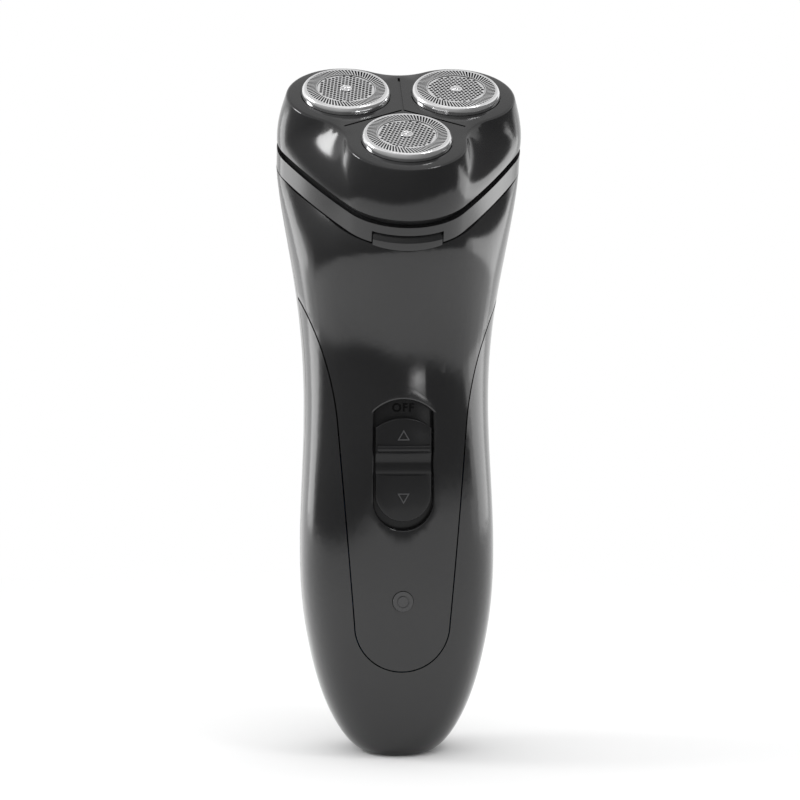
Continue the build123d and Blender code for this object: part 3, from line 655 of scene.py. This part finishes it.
# Studio: a white paper sweep in a white tent, whose canopy is a little darker overhead. Soft
# panels stand to both sides, with four softboxes, and one dark card is curved round the front,
# with graded edges, which only the gloss of the object sees.
FLOOR_SIZE = 8.0
PAPER_WHITE = (0.96, 0.96, 0.96, 1.0)
SWEEP_FROM = 0.06
SWEEP_TO = 0.30
TENT_FILL = 0.97
CANOPY = {"From Min": 0.35, "From Max": 0.80, "To Min": 1.0, "To Max": 0.65}


def add_math(tree, operation):
    node = add_node(tree, "Math")
    node.operation = operation
    return node


def background_rays(tree):
    """1 for a ray that shows the background: from the camera, off a gloss or through glass."""
    rays = add_node(tree, "LightPath")
    seen = add_math(tree, "ADD")
    shown = add_math(tree, "ADD")
    shown.use_clamp = True
    link(tree, rays, "Is Camera Ray", seen, 0)
    link(tree, rays, "Is Glossy Ray", seen, 1)
    link(tree, seen, "Value", shown, 0)
    link(tree, rays, "Is Transmission Ray", shown, 1)
    return shown


bpy.ops.object.select_all(action="DESELECT")
bpy.ops.mesh.primitive_plane_add(size=FLOOR_SIZE, location=(0.0, 0.0, 0.0))
floor = bpy.context.object
floor.name = "floor"
pale, tree, paper, place = new_finish("pale_floor")
paper.inputs["Base Color"].default_value = PAPER_WHITE
paper.inputs["Roughness"].default_value = 0.9
paper.inputs["Specular IOR Level"].default_value = 0.0
sweep = add_node(tree, "Emission")
reach = add_node(tree, "VectorMath")
reach.operation = "LENGTH"
far = add_node(tree, "MapRange", {"From Min": SWEEP_FROM, "From Max": SWEEP_TO})
far.interpolation_type = "SMOOTHSTEP"
fade = add_math(tree, "MULTIPLY")
blend = add_node(tree, "MixShader")
link(tree, place, "Object", reach, 0)
link(tree, reach, "Value", far, "Value")
link(tree, far, "Result", fade, 0)
link(tree, background_rays(tree), "Value", fade, 1)
link(tree, fade, "Value", blend, 0)
link(tree, paper, "BSDF", blend, 1)
link(tree, sweep, "Emission", blend, 2)
link(tree, blend, "Shader", tree.nodes["Material Output"], "Surface")
coat(floor.data, pale)

world = bpy.data.worlds.new("tent")
bpy.context.scene.world = world
world.use_nodes = True
tree = world.node_tree
tent = tree.nodes["Background"]
tent.inputs["Color"].default_value = (1.0, 1.0, 1.0, 1.0)
level = add_node(tree, "MapRange", {"To Min": TENT_FILL})
ray_way = add_node(tree, "TexCoord")
height = add_node(tree, "SeparateXYZ")
canopy = add_node(tree, "MapRange", CANOPY)
link(tree, ray_way, "Generated", height, "Vector")
link(tree, height, "Z", canopy, "Value")
link(tree, canopy, "Result", level, "To Max")
link(tree, background_rays(tree), "Value", level, "Value")
link(tree, level, "Result", tent, "Strength")


def soft_panel(name, place, aim, size, glow, spread=180.0):
    """A softbox: glow is its brightness beside the white of the tent, spread is in degrees."""
    width, height = size
    lamp = bpy.data.lights.new(name, "AREA")
    lamp.shape = "RECTANGLE"
    lamp.size = width
    lamp.size_y = height
    lamp.energy = glow * math.pi * width * height
    lamp.spread = math.radians(spread)
    panel = bpy.data.objects.new(name, lamp)
    bpy.context.scene.collection.objects.link(panel)
    panel.location = place
    panel.rotation_euler = (Vector(aim) - Vector(place)).to_track_quat("-Z", "Y").to_euler()
    panel.visible_camera = False


soft_panel(
    "left_panel",
    place=(-0.45, 0.36, 0.10),
    aim=(0.0, 0.0, 0.10),
    size=(0.36, 0.20),
    glow=1.1,
)
soft_panel(
    "left_wash",
    place=(-0.52, 0.27, 0.10),
    aim=(0.0, 0.0, 0.10),
    size=(0.62, 0.24),
    glow=0.4,
)
soft_panel(
    "right_panel",
    place=(0.50, 0.30, 0.065),
    aim=(0.0, 0.0, 0.08),
    size=(0.40, 0.13),
    glow=0.9,
)
soft_panel(
    "right_wash",
    place=(0.56, 0.20, 0.08),
    aim=(0.0, 0.0, 0.09),
    size=(0.60, 0.20),
    glow=0.4,
)
soft_panel(
    "scoop_softbox",
    place=(-0.552, 0.050, 0.413),
    aim=(-0.017, -0.012, 0.147),
    size=(0.18, 0.14),
    glow=11.0,
)
soft_panel(
    "top_softbox",
    place=(0.0, -0.20, 1.0),
    aim=(0.0, -0.01, 0.15),
    size=(0.50, 0.50),
    glow=0.4,
)
soft_panel(
    "edge_softbox",
    place=(0.313, -0.288, 0.714),
    aim=(0.005, -0.029, 0.140),
    size=(0.14, 0.14),
    glow=9.0,
)
soft_panel(
    "window_softbox",
    place=(0.0292, -0.1064, 0.0701),
    aim=(0.0033, -0.0121, 0.091),
    size=(0.030, 0.006),
    glow=0.07,
    spread=20.0,
)

CARD_SIDE = 0.346
CARD_FRONT = 0.121
CARD_DEPTH = 0.239
CARD_STEPS = 360
CARD_ROWS = 3
CARD_LEFT = -126.0
CARD_RIGHT = 130.0
CARD_FADE = 0.012
END_FADE = 10.0
CARD_LOW = (
    (CARD_LEFT, 0.016),
    (-100.0, 0.016),
    (0.0, 0.044),
    (90.0, 0.056),
    (98.0, 0.12),
    (CARD_RIGHT, 0.12),
)
CARD_HIGH = ((CARD_LEFT, 0.258), (0.0, 0.22), (CARD_RIGHT, 0.33))
LOW_TONE = 0.14
HIGH_TONE = ((CARD_LEFT, 0.45), (-20.0, 0.45), (40.0, 0.20), (CARD_RIGHT, 0.16))


def bearing_of(point):
    """Degrees round from straight ahead of the front, positive to the right."""
    return math.degrees(math.atan2(point.x, -point.y))


def value_at(stops, bearing):
    """The value at a bearing, straight from one stop to the next."""
    for (near, first), (far, second) in zip(stops, stops[1:]):
        if bearing <= far:
            return first + (second - first) * max(0.0, bearing - near) / (far - near)
    return stops[-1][1]


bpy.ops.object.select_all(action="DESELECT")
bpy.ops.mesh.primitive_circle_add(vertices=CARD_STEPS, radius=1.0)
card = bpy.context.object
card.name = "dark_card"
card.scale = (CARD_SIDE, CARD_DEPTH, 1.0)
card.location = (0.0, CARD_DEPTH - CARD_FRONT, 0.0)
bpy.ops.object.transform_apply(location=True, rotation=True, scale=True)
bpy.ops.object.mode_set(mode="EDIT")
bpy.ops.mesh.select_mode(type="EDGE")
bpy.ops.mesh.select_all(action="SELECT")
for row in range(CARD_ROWS):
    bpy.ops.mesh.extrude_region()
    bpy.ops.transform.translate(value=(0.0, 0.0, 1.0))
bpy.ops.object.mode_set(mode="OBJECT")
behind = []
for face in card.data.polygons:
    if not CARD_LEFT < bearing_of(face.center) < CARD_RIGHT:
        behind.append(face)
cut_out(card, behind)
grades = card.data.attributes.new("tone", "FLOAT", "POINT")
for corner in card.data.vertices:
    bearing = bearing_of(corner.co)
    row = round(corner.co.z)
    bottom, top = value_at(CARD_LOW, bearing), value_at(CARD_HIGH, bearing)
    corner.co.z = (bottom, bottom + CARD_FADE, top - CARD_FADE, top)[row]
    tone = (1.0, LOW_TONE, value_at(HIGH_TONE, bearing), 1.0)[row]
    from_end = min(bearing - CARD_LEFT, CARD_RIGHT - bearing)
    inside = min(1.0, max(0.0, from_end / END_FADE))
    grades.data[corner.index].value = 1.0 + (tone - 1.0) * inside
shade = bpy.data.materials.new("dark_card")
shade.use_nodes = True
tree = shade.node_tree
glow = add_node(tree, "Emission")
grade = add_node(tree, "Attribute")
grade.attribute_name = "tone"
link(tree, grade, "Fac", glow, "Strength")
link(tree, glow, "Emission", tree.nodes["Material Output"], "Surface")
coat(card.data, shade)
card.visible_camera = False
card.visible_diffuse = False
card.visible_shadow = False

CAMERA_PLACE = (-50.9 * MM, -706.2 * MM, 149.7 * MM)
CAMERA_BEARING = math.radians(-4.12)
CAMERA_PITCH = math.radians(84.8)
CAMERA_ROLL = math.radians(0.25)
lens = bpy.data.cameras.new("camera")
lens.lens = 135.0
lens.sensor_width = 36.0
lens.sensor_fit = "HORIZONTAL"
lens.clip_start = 0.01
camera = bpy.data.objects.new("camera", lens)
bpy.context.scene.collection.objects.link(camera)
camera.location = CAMERA_PLACE
aim = Matrix.Rotation(CAMERA_BEARING, 4, "Z") @ Matrix.Rotation(CAMERA_PITCH, 4, "X")
camera.rotation_euler = (aim @ Matrix.Rotation(CAMERA_ROLL, 4, "Z")).to_euler()
bpy.context.scene.camera = camera
bpy.context.scene.view_settings.view_transform = "Standard"
